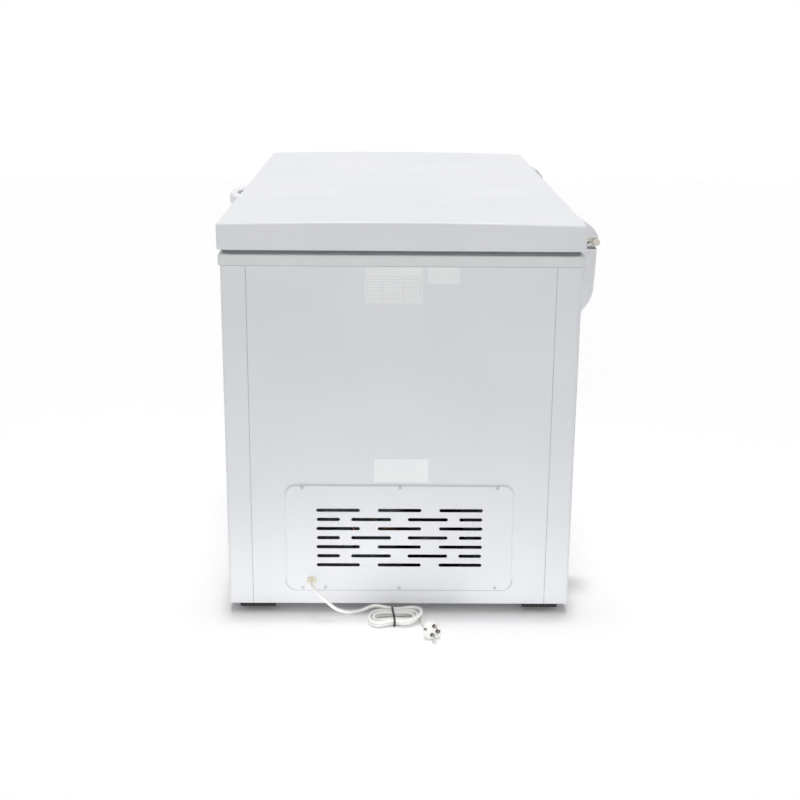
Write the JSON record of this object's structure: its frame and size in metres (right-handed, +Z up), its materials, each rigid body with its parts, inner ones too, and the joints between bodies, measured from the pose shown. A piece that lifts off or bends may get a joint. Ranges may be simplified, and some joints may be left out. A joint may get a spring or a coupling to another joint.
{
  "type": "chest freezer",
  "caption": "White chest freezer with a hinged foam-filled lid, a slotted grille over the compressor at one end and a tied mains cord with its plug.",
  "frame": {"origin": "on the floor under the middle of the cabinet and lid, at the centre of their bounding box", "axes": "+X towards the compressor end with the grille and the cord, -Y towards the front with the handle, +Z up"},
  "size_m": [1.5435, 0.842, 0.8497],
  "materials": {
    "white_enamel": "smooth baked white enamel on sheet steel",
    "tank_enamel": "white pre-painted sheet, satin",
    "galvanised_sheet": "galvanised sheet steel",
    "rigid_foam": null,
    "white_plastic": "moulded white plastic, slightly satin",
    "hinge_cream": "cream coating on steel",
    "zinc_steel": "zinc plated steel",
    "gasket_vinyl": "soft light grey vinyl",
    "foot_plastic": "dark moulded plastic",
    "cord_vinyl": "white vinyl, smooth satin",
    "tie_plastic": "black coated wire tie",
    "plug_nickel": "nickel plated brass",
    "grommet_cream": "cream nylon",
    "compressor_black": "black enamel on a steel pot",
    "black_rubber": "matt black rubber",
    "black_plastic": "black moulded plastic",
    "copper": "bright copper tube, a little dulled",
    "evaporator_aluminium": "drawn aluminium tube",
    "knob_grey": "light grey moulded plastic",
    "lamp_lens": "translucent moulded lens"
  },
  "bodies": {
    "cabinet": {"back_wrap": "white_enamel", "base_pan": "galvanised_sheet", "bay_wall": "galvanised_sheet", "cabinet_foam": "rigid_foam", "collar_trim": "white_plastic", "compressor_bolts": "zinc_steel", "compressor_end_panel": "white_enamel", "compressor_plate": "galvanised_sheet", "compressor_pot": "compressor_black", "compressor_rubbers": "black_rubber", "control_bezel": "white_plastic", "cord_grommet": "grommet_cream", "cord_hank": "cord_vinyl", "cord_tail": "cord_vinyl", "cord_tie": "tie_plastic", "discharge_pipe": "copper", "evaporator_tube": "evaporator_aluminium", "filter_drier": "copper", "foot_plate_back_left": "foot_plastic", "foot_plate_back_right": "foot_plastic", "foot_plate_front_left": "foot_plastic", "foot_plate_front_right": "foot_plastic", "front_wrap": "white_enamel", "grille_cover": "white_enamel", "grille_screws": "zinc_steel", "hinge_bracket_left": "zinc_steel", "hinge_bracket_right": "zinc_steel", "hinge_housing_left": "white_plastic", "hinge_housing_right": "white_plastic", "hinge_pin_left": "hinge_cream", "hinge_pin_right": "hinge_cream", "plain_end_panel": "white_enamel", "plug_body": "cord_vinyl", "plug_pins": "plug_nickel", "plug_relief": "cord_vinyl", "power_cord": "cord_vinyl", "signal_lamps": "lamp_lens", "start_relay": "black_plastic", "suction_pipe": "copper", "tank_liner": "tank_enamel", "thermostat": "black_plastic"},
    "lid": {"hinge_arm_left": "hinge_cream", "hinge_arm_right": "hinge_cream", "hinge_cover_left": "white_plastic", "hinge_cover_right": "white_plastic", "lid_foam": "rigid_foam", "lid_gasket": "gasket_vinyl", "lid_handle": "white_plastic", "lid_liner": "white_plastic", "lid_shell": "white_enamel"},
    "thermostat_knob": {"thermostat_knob": "knob_grey"},
    "levelling_foot_back_left": {"levelling_foot_back_left": "foot_plastic"},
    "levelling_foot_back_right": {"levelling_foot_back_right": "foot_plastic"},
    "levelling_foot_front_left": {"levelling_foot_front_left": "foot_plastic"},
    "levelling_foot_front_right": {"levelling_foot_front_right": "foot_plastic"}
  },
  "joints": [
    {"name": "lid_swing", "type": "hinge", "parent": "cabinet", "child": "lid", "pos_m": [0, 0.4132, 0.786], "axis": [-1, 0, 0], "range_deg": [0, 80]},
    {"name": "thermostat_turn", "type": "hinge", "parent": "cabinet", "child": "thermostat_knob", "pos_m": [0.5327, -0.369, 0.15], "axis": [0, -1, 0], "range_deg": [-135, 135]},
    {"name": "foot_slide_back_left", "type": "slide", "parent": "cabinet", "child": "levelling_foot_back_left", "axis": [0, 0, -1], "range_m": [0, 0.008]},
    {"name": "foot_slide_back_right", "type": "slide", "parent": "cabinet", "child": "levelling_foot_back_right", "axis": [0, 0, -1], "range_m": [0, 0.008]},
    {"name": "foot_slide_front_left", "type": "slide", "parent": "cabinet", "child": "levelling_foot_front_left", "axis": [0, 0, -1], "range_m": [0, 0.008]},
    {"name": "foot_slide_front_right", "type": "slide", "parent": "cabinet", "child": "levelling_foot_front_right", "axis": [0, 0, -1], "range_m": [0, 0.008]}
  ]
}
